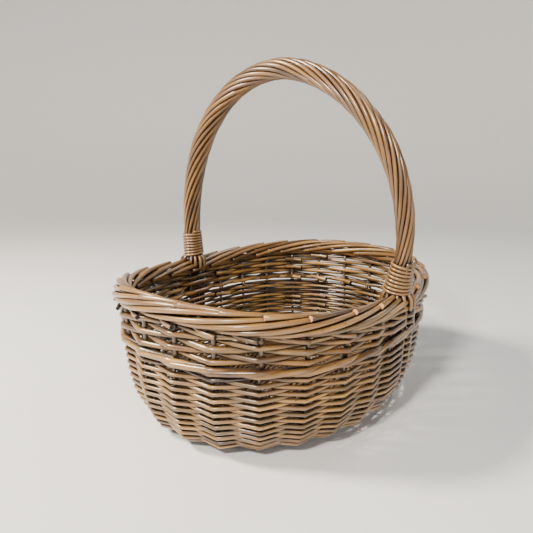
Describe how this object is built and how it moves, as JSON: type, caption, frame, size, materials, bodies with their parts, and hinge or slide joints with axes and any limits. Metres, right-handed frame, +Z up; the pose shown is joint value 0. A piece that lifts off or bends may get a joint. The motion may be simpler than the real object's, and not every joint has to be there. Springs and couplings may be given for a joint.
{
  "type": "woven market basket",
  "caption": "Oval willow shopping basket with bellied stake-and-strand sides, an open gap below the upper weave, a rod border and a fixed roped cross handle.",
  "frame": {"origin": "on the ground under the middle of the base", "axes": "+X across the basket in the plane of the handle, +Y along the basket's length, +Z up"},
  "size_m": [0.3725, 0.4512, 0.4417],
  "materials": {
    "base_sticks": "stripped buff willow, dull",
    "base_weave": "buff willow rods, satin",
    "stakes": "buff willow rods, satin",
    "fine_rods": "fine buff willow rods, satin sheen",
    "heavy_rods": "heavier buff willow rods, satin sheen",
    "border_rods": "heavy buff willow rods with pale and dark cut ends",
    "pegs": "peeled willow, cut",
    "bow": "thick willow rod, dull",
    "roping_rods": "buff willow rods roped round the bow, satin sheen",
    "lapping": "thin split willow, satin"
  },
  "bodies": {
    "root": {"base_long_sticks": "base_sticks", "base_short_sticks": "base_sticks", "base_weave": "base_weave", "side_stakes": "stakes", "upsett_wale": "fine_rods", "fine_siding": "fine_rods", "middle_wale": "heavy_rods", "upper_stakes": "stakes", "heavy_siding": "heavy_rods", "border": "border_rods", "bow_pegs": "pegs", "left_liners": "stakes", "right_liners": "stakes", "handle_bow": "bow", "handle_roping": "roping_rods", "left_lap": "lapping", "right_lap": "lapping"}
  },
  "joints": []
}
